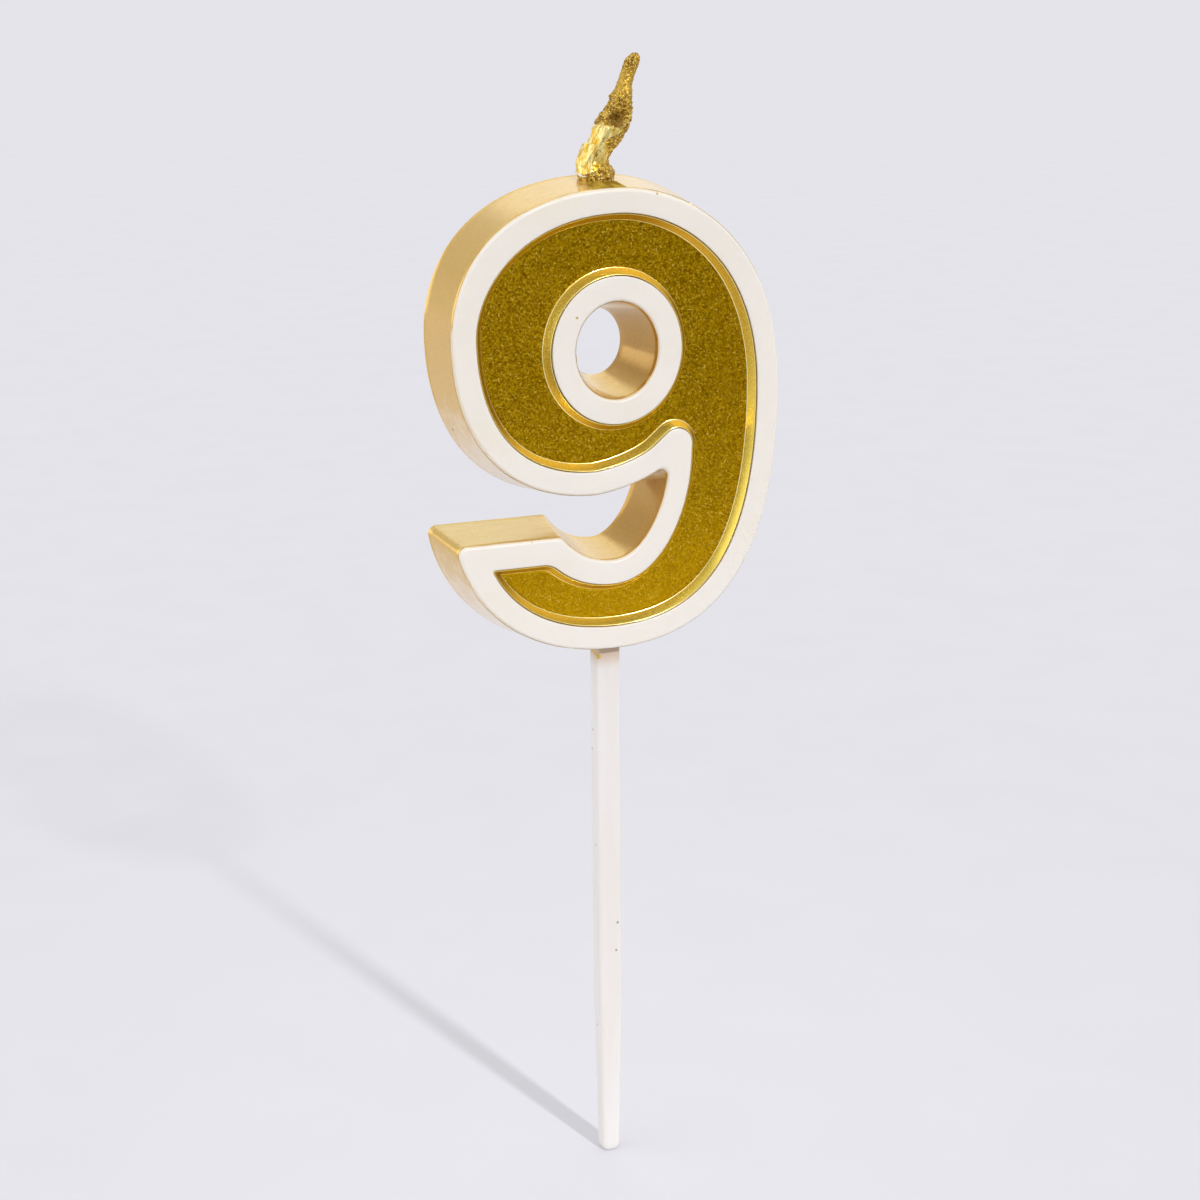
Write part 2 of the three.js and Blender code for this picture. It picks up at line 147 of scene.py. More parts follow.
def digit_sides(share):
    """The outline's three sides between its three corners, clockwise with the wax on the right.

    The share goes from 0 on the outline itself to 1 on the panel's edge, where the border's extras count.
    """
    throat = np.array([RIGHT_EDGE - STEM_BAND, BOWL_BOTTOM + THROAT_RISE])
    bowl = np.array([BOWL_SHIFT, BOWL_BOTTOM])
    left = np.array([LEFT_EDGE, BOWL_BOTTOM + LEFT_SWELL])
    crown = np.array([CROWN_SHIFT, CROWN_TOP])
    right = np.array([RIGHT_EDGE, PICK_LENGTH + RIGHT_SWELL])
    foot = np.array([FOOT_SHIFT, PICK_LENGTH])
    tail_tip = np.array([-TAIL_SWEEP + TIP_EXTRA * share, TAIL_TOP - TAIL_EXTRA * share])
    tail_heel = np.array([-TAIL_SWEEP + TAIL_LENGTH, TAIL_TOP - TAIL_EXTRA * share])
    pocket = np.array([POCKET_SHIFT, PICK_LENGTH + FOOT_BAND - POCKET_EXTRA * share])
    around = [
        sweep(throat, 220, THROAT_PULL, bowl, 180, BOWL_PULL),
        quarter_turn(bowl, left, True, 0.58, 0.67),
        quarter_turn(left, crown, False, 0.43, 0.78 - LEFT_FLATTENING * share),
        quarter_turn(crown, right, True, 0.43 - RIGHT_FLATTENING * share, 0.74),
        quarter_turn(right, foot, False, 0.58, 0.75),
        sweep(foot, 180, FOOT_PULL, tail_tip, 100, TIP_PULL),
    ]
    tail = [sweep(tail_tip, 0, TAIL_LENGTH / 3, tail_heel, 0, TAIL_LENGTH / 3)]
    inside = [
        sweep(tail_heel, -52, HEEL_PULL, pocket, 0, POCKET_PULL),
        sweep(pocket, 0, POCKET_RISE_PULL, throat, 87, STEM_PULL),
    ]
    return around, tail, inside


def side_place(side, station, inset):
    """A place on a side, pushed into the wax by the inset. Past its ends a side runs on straight."""
    in_range = min(max(station, 0.0), float(len(side)))
    piece = min(int(in_range), len(side) - 1)
    a, b, c, d = side[piece]
    t = in_range - piece
    place = a * (1 - t) ** 3 + b * 3 * t * (1 - t) ** 2 + c * 3 * t**2 * (1 - t) + d * t**3
    tangent = (b - a) * (1 - t) ** 2 + (c - b) * 2 * t * (1 - t) + (d - c) * t**2
    tangent = tangent / np.linalg.norm(tangent)
    normal = np.array([tangent[1], -tangent[0]])
    return place + tangent * (station - in_range) * BEYOND_END + normal * inset


def cross(a, b):
    return a[0] * b[1] - a[1] * b[0]


def crossing(before, after, inset):
    """The stations where two neighbouring sides cross once both are pushed in by the inset."""
    nudge = 1e-4
    largest_move = 0.2
    leaves, meets = float(len(before)), 0.0
    for _ in range(40):
        on_before = side_place(before, leaves, inset)
        on_after = side_place(after, meets, inset)
        gap = on_after - on_before
        along_before = (side_place(before, leaves + nudge, inset) - on_before) / nudge
        along_after = (side_place(after, meets + nudge, inset) - on_after) / nudge
        turn = cross(along_before, along_after)
        leaves += min(max(cross(gap, along_after) / turn, -largest_move), largest_move)
        meets += min(max(cross(gap, along_before) / turn, -largest_move), largest_move)
    return leaves, meets


def rounded_corner(before, after, inset, radius, points_out):
    """Where a corner's arc leaves and meets its sides, and the places on the arc."""
    steps = 14
    centre_inset = inset + radius if points_out else inset - radius
    leaves, meets = crossing(before, after, centre_inset)
    centre = side_place(before, leaves, centre_inset)
    start = side_place(before, leaves, inset) - centre
    end = side_place(after, meets, inset) - centre
    turn = math.atan2(cross(start, end), float(start @ end))
    arc = []
    for i in range(1, steps):
        angle = turn * i / steps
        rotated = [
            start[0] * math.cos(angle) - start[1] * math.sin(angle),
            start[0] * math.sin(angle) + start[1] * math.cos(angle),
        ]
        arc.append(centre + np.array(rotated))
    return leaves, meets, arc


def side_run(side, start, end, inset, count):
    return [side_place(side, start + (end - start) * i / count, inset) for i in range(count + 1)]


def digit_ring(inset):
    """The whole outline at one inset, as a closed ring of places, its corners concentric past the border."""
    share = min(max(inset / BORDER_WIDTH, 0.0), 1.0)
    around, tail, inside = digit_sides(share)
    radius = {}
    for corner, on_edge in EDGE_RADII.items():
        radius[corner] = on_edge * (1 - share) + PANEL_RADII[corner] * share
    beyond = max(inset - BORDER_WIDTH, 0.0)
    tip_radius = max(radius["tail_tip"] - beyond, SMALLEST_RADIUS)
    heel_radius = max(radius["tail_heel"] - beyond, SMALLEST_RADIUS)
    tip = rounded_corner(around, tail, inset, tip_radius, True)
    heel = rounded_corner(tail, inside, inset, heel_radius, True)
    throat = rounded_corner(inside, around, inset, radius["throat"] + beyond, False)
    return np.array(
        side_run(around, throat[1], tip[0], inset, 300)
        + tip[2]
        + side_run(tail, tip[1], heel[0], inset, 24)
        + heel[2]
        + side_run(inside, heel[1], throat[0], inset, 80)
        + throat[2]
    )


def counter_ring(inset):
    """The counter, the digit's round opening, grown into the wax by the inset."""
    steps = 180
    places = []
    half = np.array([COUNTER_WIDTH, COUNTER_HEIGHT]) / 2
    for i in range(steps):
        unit = heading(360 * i / steps)
        normal = unit / half
        normal /= np.linalg.norm(normal)
        places.append(COUNTER_CENTRE + unit * half + normal * inset)
    return np.array(places)


def side_inset(depth):
    return -SIDE_DRAFT * depth / DIGIT_DEPTH


def counter_inset(depth):
    return -COUNTER_DRAFT * depth / DIGIT_DEPTH


def laid(ring, depth):
    """A ring of [x, z] places as points at a depth behind the front face, one for all or one for each."""
    depths = np.broadcast_to(depth, len(ring))
    return [Vector((x, y - DIGIT_DEPTH / 2, z)) * MM for (x, z), y in zip(ring, depths)]


def wall_faces(ring_count, point_count, first, closed):
    faces = []
    for ring in range(ring_count if closed else ring_count - 1):
        here = first + ring * point_count
        beyond = first + (ring + 1) % ring_count * point_count
        for i in range(point_count):
            j = (i + 1) % point_count
            faces.append((here + i, here + j, beyond + j, beyond + i))
    return faces


def cap_faces(outline, counter, outline_first, counter_first):
    """Triangles that fill the face between an outline ring and a counter ring."""
    loops = [[Vector((x, z, 0)) for x, z in outline], [Vector((x, z, 0)) for x, z in counter]]
    count = len(outline)
    faces = []
    for triangle in tessellate_polygon(loops):
        placed = [outline_first + i if i < count else counter_first + i - count for i in triangle]
        faces.append(tuple(placed))
    return faces


def make_piece(name, points, faces, material, node=None):
    """A mesh object from points and faces, smooth shaded, riding on the part's one body."""
    mesh = bpy.data.meshes.new(name)
    mesh.from_pydata([tuple(p) for p in points], [], faces)
    mesh.validate()
    mesh.update()
    piece = bpy.data.objects.new(name, mesh)
    bpy.context.scene.collection.objects.link(piece)
    orient_outward(piece)
    mesh.shade_smooth()
    mesh.set_sharp_from_angle(angle=math.radians(38))
    mesh.materials.append(material)
    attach(piece, "root")
    if node:
        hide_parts(node)
    return piece


def orient_outward(piece):
    grid = bmesh.new()
    grid.from_mesh(piece.data)
    bmesh.ops.recalc_face_normals(grid, faces=grid.faces)
    grid.to_mesh(piece.data)
    grid.free()


def band(name, ring_at, profile, material, node=None):
    """A band swept round a ring: its profile is a closed list of (inset, depth)."""
    rings = [ring_at(inset) for inset, _ in profile]
    points = []
    for ring, (_, depth) in zip(rings, profile):
        points += laid(ring, depth)
    faces = wall_faces(len(profile), len(rings[0]), 0, True)
    return make_piece(name, points, faces, material, node)


def plate(name, outer, inner, material, node=None):
    """A plate through levels of an outer and a counter wall, front to back, each level (ring, depth)."""
    points = []
    for ring, depth in outer + inner:
        points += laid(ring, depth)
    outer_count, inner_count = len(outer[0][0]), len(inner[0][0])
    inner_first = len(outer) * outer_count
    faces = wall_faces(len(outer), outer_count, 0, False)
    faces += wall_faces(len(inner), inner_count, inner_first, False)
    faces += cap_faces(outer[0][0], inner[0][0], 0, inner_first)
    last_inner = inner_first + (len(inner) - 1) * inner_count
    faces += cap_faces(outer[-1][0], inner[-1][0], inner_first - outer_count, last_inner)
    return make_piece(name, points, faces, material, node)


def levels(ring_at, profile):
    return [(ring_at(inset), depth) for inset, depth in profile]


class RingField:
    """One outline's rings at close insets, so that each place on a ring can have its own inset."""

    # Between two rings, in millimetres
    STEP = 0.05

    def __init__(self, ring_at, low, high):
        self.low = low
        count = int((high - low) / self.STEP) + 2
        self.rings = np.array([ring_at(low + k * self.STEP) for k in range(count)])

    def at(self, insets):
        station = (insets - self.low) / self.STEP
        below = np.clip(station.astype(int), 0, len(self.rings) - 2)
        share = (station - below)[:, None]
        place = np.arange(self.rings.shape[1])
        return self.rings[below, place] * (1 - share) + self.rings[below + 1, place] * share


def edge_arc(radius, steps=8):
    """Quarter round from a wall to a flat face, as (inset, depth) pairs inside the corner."""
    pairs = []
    for i in range(steps + 1):
        angle = i / steps * math.pi / 2
        pairs.append((radius * (1 - math.cos(angle)), radius * (1 - math.sin(angle))))
    return pairs


def edge_inset(depth, wall_inset):
    """How far the surface lies inside the outline at a depth: on the rounding first, then on the wall."""
    if depth >= BORDER_ROUNDING:
        return wall_inset(depth)
    drop = BORDER_ROUNDING - depth
    return BORDER_ROUNDING - math.sqrt(BORDER_ROUNDING**2 - drop**2)


def spread(start, end, count):
    """Evenly spaced (inset, depth) pairs from start up to, not including, end."""
    return [
        (start[0] + (end[0] - start[0]) * i / count, start[1] + (end[1] - start[1]) * i / count)
        for i in range(count)
    ]


# Colours of the studio
BACKGROUND = (0.775, 0.768, 0.815)
FLOOR = (0.72, 0.714, 0.76)

# Where the painted shade in the hollow of the wick's front is darkest
HOLLOW = (1.9, -0.3, WICK_FOOT + 6.8)

# Small marks on the real part: chips in the coat, specks in the wax, and smears and specks on the pick
COAT_CHIPS = (
    (-5.6, 3.4, CROWN_TOP + 0.1),
    (-4.9, 3.5, CROWN_TOP + 0.3),
    (-3.9, 3.3, CROWN_TOP + 0.4),
    (4.2, 3.5, CROWN_TOP + 0.3),
    (-16.9, 3.5, PICK_LENGTH + 25.2),
    (-15.6, 3.6, PICK_LENGTH + 23.6),
    (-18.2, 2.0, PICK_LENGTH + 27.4),
    (4.7, 1.0, PICK_LENGTH + 36.2),
    (-19.3, -2.6, TAIL_TOP),
    (-19.1, -4.0, TAIL_TOP - 0.1),
    (-13.5, 4.0, TAIL_TOP + 0.8),
    (-6.6, 2.6, TAIL_TOP - 0.2),
)
WAX_SPECKS = (
    (-4.7, -4.15, PICK_LENGTH + 40.6),
    (-10.7, -4.15, PICK_LENGTH + 14.4),
    (5.4, -4.1, CROWN_TOP - 0.8),
)
PICK_SMEARS = (
    (-1.55, 0.4, PICK_LENGTH - 1.3),
    (-1.5, -0.6, PICK_LENGTH - 1.4),
    (-1.5, -1.4, PICK_LENGTH - 1.7),
)
PICK_SPECKS = (
    (-1.55, 0.3, 58.3),
    (-1.55, 0.7, 55.7),
    (-1.55, -0.3, 43.1),
    (0.6, -1.55, 28.8),
    (-1.55, 0.0, 18.0),
)


class Nodes:
    """Short calls for building the node tree of a material or of the world."""

    def __init__(self, owner):
        owner.use_nodes = True
        self.owner = owner
        self.tree = owner.node_tree
        self.shader = self.tree.nodes.get("Principled BSDF")

    def add(self, kind, **settings):
        node = self.tree.nodes.new("ShaderNode" + kind)
        for key, value in settings.items():
            setattr(node, key, value)
        return node

    def link(self, output, target):
        self.tree.links.new(output, target)

    def place(self):
        return self.add("TexCoord").outputs["Object"]

    def parts(self, vector):
        """The X, Y and Z of a vector."""
        node = self.add("SeparateXYZ")
        self.link(vector, node.inputs["Vector"])
        return node.outputs

    def facing(self):
        """The X, Y and Z of the direction that the surface faces."""
        return self.parts(self.add("TexCoord").outputs["Normal"])

    def distance_to(self, place):
        """How far the surface is from a place given in millimetres."""
        node = self.add("VectorMath", operation="DISTANCE")
        self.link(self.place(), node.inputs[0])
        node.inputs[1].default_value = Vector(place) * MM
        return node.outputs["Value"]

    def noise(self, scale, detail=2.0, roughness=0.5, stretch=None):
        """Noise over the object, its scale in features per metre."""
        place = self.place()
        if stretch:
            mapping = self.add("Mapping")
            mapping.inputs["Scale"].default_value = stretch
            self.link(place, mapping.inputs["Vector"])
            place = mapping.outputs["Vector"]
        texture = self.add("TexNoise")
        texture.inputs["Scale"].default_value = scale
        texture.inputs["Detail"].default_value = detail
        texture.inputs["Roughness"].default_value = roughness
        self.link(place, texture.inputs["Vector"])
        return texture.outputs["Fac"]

    def cells(self, scale, feature="F1"):
        """The outputs of small cells that fill space, their scale in cells per metre."""
        texture = self.add("TexVoronoi", feature=feature)
        texture.inputs["Scale"].default_value = scale
        self.link(self.place(), texture.inputs["Vector"])
        return texture.outputs

    def cell_values(self, scale):
        """Three random values for each small cell, as Red, Green and Blue."""
        node = self.add("SeparateColor")
        self.link(self.cells(scale)["Color"], node.inputs["Color"])
        return node.outputs

    def ramp(self, value, low, high, first=0.0, last=1.0):
        """A smooth change from first to last while the value goes from low to high."""
        node = self.add("MapRange", interpolation_type="SMOOTHSTEP")
        self.link(value, node.inputs["Value"])
        node.inputs["From Min"].default_value = low
        node.inputs["From Max"].default_value = high
        node.inputs["To Min"].default_value = first
        node.inputs["To Max"].default_value = last
        return node.outputs["Result"]

    def maths(self, operation, a, b=0.0):
        node = self.add("Math", operation=operation)
        for socket, value in zip(node.inputs, (a, b)):
            if isinstance(value, (int, float)):
                socket.default_value = value
            else:
                self.link(value, socket)
        return node.outputs["Value"]

    def combined(self, operation, values):
        total, *rest = values
        for value in rest:
            total = self.maths(operation, total, value)
        return total

    def product(self, *values):
        return self.combined("MULTIPLY", values)

    def largest(self, *values):
        return self.combined("MAXIMUM", values)

    def opposite(self, value):
        """1 less the value."""
        return self.maths("SUBTRACT", 1.0, value)

    def mix(self, factor, a, b):
        node = self.add("Mix", data_type="RGBA")
        self.link(factor, node.inputs["Factor"])
        for socket, value in zip((node.inputs[6], node.inputs[7]), (a, b)):
            if isinstance(value, tuple):
                socket.default_value = (*value, 1.0)
            else:
                self.link(value, socket)
        return node.outputs[2]

    def tinted(self, factor, colour, tint):
        """A colour multiplied by a tint, as far as the factor says."""
        node = self.add("Mix", data_type="RGBA", blend_type="MULTIPLY")
        self.link(factor, node.inputs["Factor"])
        self.link(colour, node.inputs[6])
        node.inputs[7].default_value = (*tint, 1.0)
        return node.outputs[2]

    def spots(self, places, radius):
        """1 close to any of a few places and 0 away from them, in millimetres."""
        edge = radius * MM
        near = [self.ramp(self.distance_to(place), 0.5 * edge, edge, 1.0, 0.0) for place in places]
        return self.largest(*near)

    def rare_specks(self, scale, size, patches, rarity):
        """1 on small specks that only show in patches. Size and rarity say where each starts and ends."""
        specks = self.ramp(self.cells(scale)["Distance"], *size, 1.0, 0.0)
        return self.product(specks, self.ramp(self.noise(patches, 1), *rarity))

    def bump(self, height, distance, strength=1.0, below=None):
        node = self.add("Bump")
        node.inputs["Strength"].default_value = strength
        node.inputs["Distance"].default_value = distance * MM
        self.link(height, node.inputs["Height"])
        if below:
            self.link(below, node.inputs["Normal"])
        return node.outputs["Normal"]

    def finish(self, **inputs):
        """Links what varies over the surface and sets what is the same all over on the shader itself."""
        for name, value in inputs.items():
            socket = self.shader.inputs[name.replace("_", " ")]
            if isinstance(value, bpy.types.NodeSocket):
                self.link(value, socket)
            else:
                socket.default_value = value
        return self.owner


def material_nodes(name):
    return Nodes(bpy.data.materials.new(name))


def ivory_wax():
    """White wax with faint clouding, tiny specks, a soft inner glow, and edges tinted creamier by gold
    overspray and painted warm shade.
    """
    n = material_nodes("ivory_wax")
    clouds = n.ramp(n.noise(120, 3), 0.45, 0.75)
    colour = n.mix(clouds, (0.885, 0.822, 0.755), (0.87, 0.795, 0.7))
    colour = n.mix(n.rare_specks(420, (0.03, 0.05), 90, (0.68, 0.7)), colour, (0.5, 0.36, 0.2))
    colour = n.mix(n.spots(WAX_SPECKS, 0.2), colour, (0.62, 0.4, 0.08))
    # Edges turned from the front: partly gold overspray, partly painted warm shade, so creamier and darker
    edge_overspray_and_shade = n.ramp(n.facing()["Y"], -0.95, -0.5, 0.0, 0.8)
    colour = n.tinted(edge_overspray_and_shade, colour, (0.98, 0.88, 0.7))
    waves = n.bump(n.noise(260, 2), 0.12, 0.3)
    return n.finish(
        Base_Color=colour,
        Roughness=n.ramp(n.noise(400, 2), 0.3, 0.7, 0.38, 0.5),
        Normal=n.bump(n.noise(2600, 3), 0.03, 0.2, waves),
        Subsurface_Weight=0.25,
        Subsurface_Radius=(0.0014, 0.001, 0.0007),
        Subsurface_Scale=1.0,
    )


def champagne_coat():
    """Pale gold powder paint with a few dark flecks.

    It is thinner and whiter where the outer wall faces down and streaky where it faces up. It has painted
    shade where it faces left, deeper in the openings, painted shade on the top of the tail, and a painted
    reflection and shadow of the wick on the crown in front of it.
    """
    n = material_nodes("champagne_coat")
    facing = n.facing()
    where = n.parts(n.place())
    powder = n.cell_values(6500)
    dust = n.maths("ADD", n.product(powder["Red"], 0.6), n.noise(3000, 2))
    colour = n.mix(n.ramp(dust, 0.2, 1.4), (0.75, 0.51, 0.15), (0.86, 0.61, 0.22))

    # Painted shade: walls that face left are darker and warmer
    left_facing_shade = n.ramp(facing["X"], -0.9, -0.2, 1.0, 0.0)
    colour = n.tinted(left_facing_shade, colour, (0.96, 0.88, 0.72))

    upward = n.ramp(facing["Z"], 0.6, 0.9)
    streaks = n.ramp(n.noise(2600, 3, 0.6, (0.08, 1.0, 1.0)), 0.45, 0.65)
    colour = n.tinted(n.product(streaks, upward), colour, (0.93, 0.9, 0.82))

    # In the openings the painted shade is deeper and reaches further round towards the back
    opening = n.ramp(where["X"], -9 * MM, -6 * MM)
    twist = n.maths("SUBTRACT", facing["X"], n.product(where["Y"], 19))
    turned = n.product(n.ramp(twist, -0.58, -0.4, 1.0, 0.0), opening)
    colour = n.tinted(turned, colour, (0.75, 0.68, 0.53))

    # Painted shade: the top of the tail, under the bowl, is cooler and a little darker than the crown
    below_bowl = n.ramp(where["Z"], (PICK_LENGTH + 20) * MM, (PICK_LENGTH + 22) * MM, 1.0, 0.0)
    on_tail = n.product(below_bowl, n.opposite(opening))
    colour = n.tinted(n.product(upward, on_tail), colour, (0.88, 0.93, 1.0))

    counter_middle = (COUNTER_CENTRE[0], 0, COUNTER_CENTRE[1])
    outside = n.ramp(n.distance_to(counter_middle), 9 * MM, 12 * MM)
    patchy = n.maths("ADD", facing["Z"], n.product(n.noise(500, 3), 0.5))
    thin = n.product(n.ramp(patchy, -0.5, 0.1, 0.75, 0.0), outside)
    colour = n.mix(thin, colour, (0.9, 0.78, 0.62))

    # A painted reflection and shadow of the wick on the crown, in front of the wick
    from_middle = n.maths("ABSOLUTE", n.maths("ADD", where["X"], 0.2 * MM))
    beside = n.ramp(from_middle, 1.9 * MM, 2.2 * MM, 1.0, 0.0)
    in_front = n.ramp(where["Y"], (WICK_Y - 1.8) * MM, (WICK_Y - 1.4) * MM, 1.0, 0.0)
    crown = n.ramp(where["Z"], (CROWN_TOP - 1) * MM, (CROWN_TOP - 0.5) * MM)
    wick_reflection = n.product(beside, in_front, crown)
    uneven = n.ramp(n.noise(1200, 3, 0.6, (1.0, 0.3, 1.0)), 0.35, 0.65)
    wick_reflection_colour = n.mix(uneven, (0.2, 0.11, 0.004), (0.46, 0.31, 0.03))
    colour = n.mix(n.product(wick_reflection, 0.9), colour, wick_reflection_colour)

    flecks = n.rare_specks(500, (0.05, 0.1), 140, (0.64, 0.68))
    colour = n.mix(n.largest(flecks, n.spots(COAT_CHIPS, 0.25)), colour, (0.16, 0.09, 0.02))

    # Outside the painted reflection and shadow the coat keeps its metal, coat and shine
    off_wick_reflection = n.opposite(wick_reflection)
    fine = n.bump(powder["Green"], 0.01, 0.1)
    return n.finish(
        Base_Color=colour,
        Roughness=n.ramp(dust, 0.3, 1.2, 0.15, 0.21),
        Normal=n.bump(n.noise(340, 3), 0.1, 0.08, fine),
        Metallic=n.product(n.ramp(thin, 0.0, 0.75, 0.55, 0.15), off_wick_reflection),
        Coat_Weight=n.product(off_wick_reflection, 0.2),
        Specular_IOR_Level=n.product(off_wick_reflection, 0.5),
        Coat_Roughness=0.08,
    )


def panel_gold():
    """Deep gold metal-flake paint: a dense fine grain, and sparse flakes painted brighter as glints."""
    n = material_nodes("panel_gold")
    flakes = n.cell_values(6800)
    tone = n.maths("ADD", n.product(flakes["Red"], 0.85), n.product(n.noise(2400, 2), 0.15))
    colour = n.mix(n.ramp(tone, 0.1, 0.9), (0.84, 0.44, 0.003), (1.0, 0.605, 0.009))
    # Painted glints: a few flakes are lighter and less metallic
    painted_glints = n.ramp(flakes["Green"], 0.9, 1.0)
    colour = n.mix(painted_glints, colour, (1.0, 0.68, 0.08))
    return n.finish(
        Base_Color=colour,
        Roughness=n.ramp(flakes["Red"], 0.0, 1.0, 0.28, 0.38),
        Normal=n.bump(flakes["Blue"], 0.02, 0.35),
        Metallic=n.opposite(n.product(painted_glints, 0.38)),
        Specular_IOR_Level=0.15,
    )


def slope_gold():
    """The smoother gold on the slopes round the panel.

    It is bright where a slope faces left or up. It has painted highlight lines at its lip and foot, and
    painted shade where it faces right or down.
    """
    n = material_nodes("slope_gold")
    facing = n.facing()
    fine = n.noise(4200, 2)
    colour = n.mix(n.ramp(fine, 0.3, 0.7), (0.84, 0.65, 0.09), (0.92, 0.73, 0.15))
    slope_forward = WALL_RUN / math.hypot(WALL_RUN, RECESS_DEPTH)
    off_slope = n.maths("ABSOLUTE", n.maths("ADD", facing["Y"], slope_forward))
    # Painted highlights: lighter lines where the surface bends off the slope, at the lip and the foot
    colour = n.mix(n.ramp(off_slope, 0.05, 0.2), colour, (1.0, 0.88, 0.4))
    # Painted shade where a slope faces right or down
    facing_right_or_down = n.maths("SUBTRACT", n.product(facing["X"], 0.8), n.product(facing["Z"], 0.6))
    colour = n.mix(n.ramp(facing_right_or_down, 0.0, 0.45), colour, (0.42, 0.26, 0.006))
    return n.finish(
        Base_Color=colour,
        Roughness=n.ramp(fine, 0.3, 0.7, 0.2, 0.26),
        Normal=n.bump(fine, 0.01, 0.15),
        Metallic=0.75,
    )


def foil_gold():
    """Bright crinkled gold foil, with painted highlights and shade that follow its crinkles and painted
    shade in its creases.
    """
    n = material_nodes("foil_gold")
    crease = n.noise(1100, 4, 0.62, (1.0, 1.0, 0.4))
    # Painted highlights and shade: the tone follows the crinkles' height, lighter on the crests and darker
    # between
    colour = n.mix(n.ramp(crease, 0.38, 0.58), (0.8, 0.47, 0.02), (1.0, 0.84, 0.33))
    # Painted shade in thin crease lines, where they show in patches
    lines = n.ramp(n.cells(900, "DISTANCE_TO_EDGE")["Distance"], 0.01, 0.06, 0.8, 0.0)
    patchy = n.ramp(n.noise(700, 2), 0.45, 0.6)
    colour = n.mix(n.product(lines, patchy), colour, (0.3, 0.15, 0.004))
    return n.finish(
        Base_Color=colour,
        Roughness=n.ramp(crease, 0.3, 0.7, 0.26, 0.14),
        Normal=n.bump(crease, 0.2, 0.9),
        Metallic=0.45,
    )


def crumbly_gold():
    """Coarse gold wax crumbs with painted shade in the hollows between them, smoother below the wick's tip.

    It has a few painted glints, and painted shade in the hollow at the wick's front.
    """
    n = material_nodes("crumbly_gold")
    crumbs = n.noise(2900, 4, 0.7)
    # Painted shade: the crumbs' tone follows their height, darker in the hollows between them
    colour = n.mix(n.ramp(crumbs, 0.42, 0.6), (0.27, 0.13, 0.004), (0.84, 0.56, 0.08))
    # Painted glints on a few crumbs
    glints = n.ramp(n.noise(4600, 1), 0.62, 0.7)
    colour = n.mix(glints, colour, (1.0, 0.86, 0.4))
    height = n.parts(n.place())["Z"]
    above = n.ramp(height, (WICK_FOOT + 9.4) * MM, (WICK_FOOT + 10.2) * MM)
    below = n.ramp(height, (WICK_FOOT + 12.2) * MM, (WICK_FOOT + 12.8) * MM, 1.0, 0.0)
    smooth = n.product(above, below, 0.7)
    colour = n.mix(smooth, colour, (0.56, 0.34, 0.04))
    # Painted shade in the hollow at the wick's front
    shade = n.spots([HOLLOW], 1.3)
    colour = n.mix(n.product(shade, 0.75), colour, (0.2, 0.09, 0.004))
    relief = n.product(crumbs, n.opposite(smooth))
    return n.finish(
        Base_Color=colour,
        Roughness=n.ramp(crumbs, 0.3, 0.7, 0.5, 0.3),
        Normal=n.bump(relief, 0.2, 0.9),
        Metallic=0.6,
    )


def white_plastic():
    """Moulded white plastic with faint flow marks, a browner band of painted shade just below the digit, and
    a few dust specks.
    """
    n = material_nodes("white_plastic")
    flow = n.noise(300, 2, 0.5, (1.0, 1.0, 0.12))
    colour = n.mix(n.ramp(flow, 0.35, 0.7), (0.8, 0.755, 0.72), (0.83, 0.805, 0.79))
    height = n.parts(n.place())["Z"]
    # Painted shade: the pick is browner just below the digit, where the digit shades it
    neck = n.ramp(height, (PICK_LENGTH - 3.6) * MM, (PICK_LENGTH - 1.0) * MM, 0.0, 0.85)
    colour = n.mix(neck, colour, (0.62, 0.46, 0.32))
    colour = n.mix(n.spots(PICK_SMEARS, 0.5), colour, (0.62, 0.42, 0.05))
    colour = n.mix(n.product(n.spots(PICK_SPECKS, 0.2), 0.8), colour, (0.3, 0.2, 0.12))
    colour = n.mix(n.rare_specks(300, (0.04, 0.08), 110, (0.6, 0.64)), colour, (0.25, 0.18, 0.12))
    return n.finish(
        Base_Color=colour,
        Roughness=0.36,
        Normal=n.bump(flow, 0.06, 0.3),
        Subsurface_Weight=0.15,
        Subsurface_Radius=(0.001, 0.0009, 0.0008),
        Subsurface_Scale=1.0,
    )


def floor_finish():
    """Pale studio floor with a faint mottling. The shadow on it fades with distance, as in the photo."""
    n = material_nodes("floor_finish")
    mottling = n.ramp(n.noise(60, 2), 0.3, 0.7)
    n.finish(Base_Color=n.mix(mottling, FLOOR, tuple(c * 1.01 for c in FLOOR)), Roughness=0.9)
    glow = n.add("Emission")
    n.link(n.mix(mottling, tuple(c * 0.985 for c in BACKGROUND), BACKGROUND), glow.inputs["Color"])
    path = n.add("LightPath")
    rays = ("Is Camera Ray", "Is Glossy Ray", "Is Transmission Ray")
    shown = n.largest(*(path.outputs[ray] for ray in rays))
    fade = n.ramp(n.distance_to((0, 0, 0)), 0.0, 160 * MM, 0.0, 0.85)
    faded = n.add("MixShader")
    n.link(n.product(fade, shown), faded.inputs["Fac"])
    n.link(n.shader.outputs["BSDF"], faded.inputs[1])
    n.link(glow.outputs["Emission"], faded.inputs[2])
    n.link(faded.outputs["Shader"], n.tree.nodes["Material Output"].inputs["Surface"])
    return n.owner


# Fine detail of the digit: how close an extra ring keeps a rounding tight, the panel's fillet, lip and
# groove, the white borders' inner rounding, and how deep the panel's back lies
SUPPORT = 0.12
FILLET = 0.2
LIP_ROUNDING = 0.12
GROOVE_WIDTH = 0.06
GROOVE_DEPTH = 0.4
INNER_ROUNDING = 0.16
PANEL_BACK = 1.75


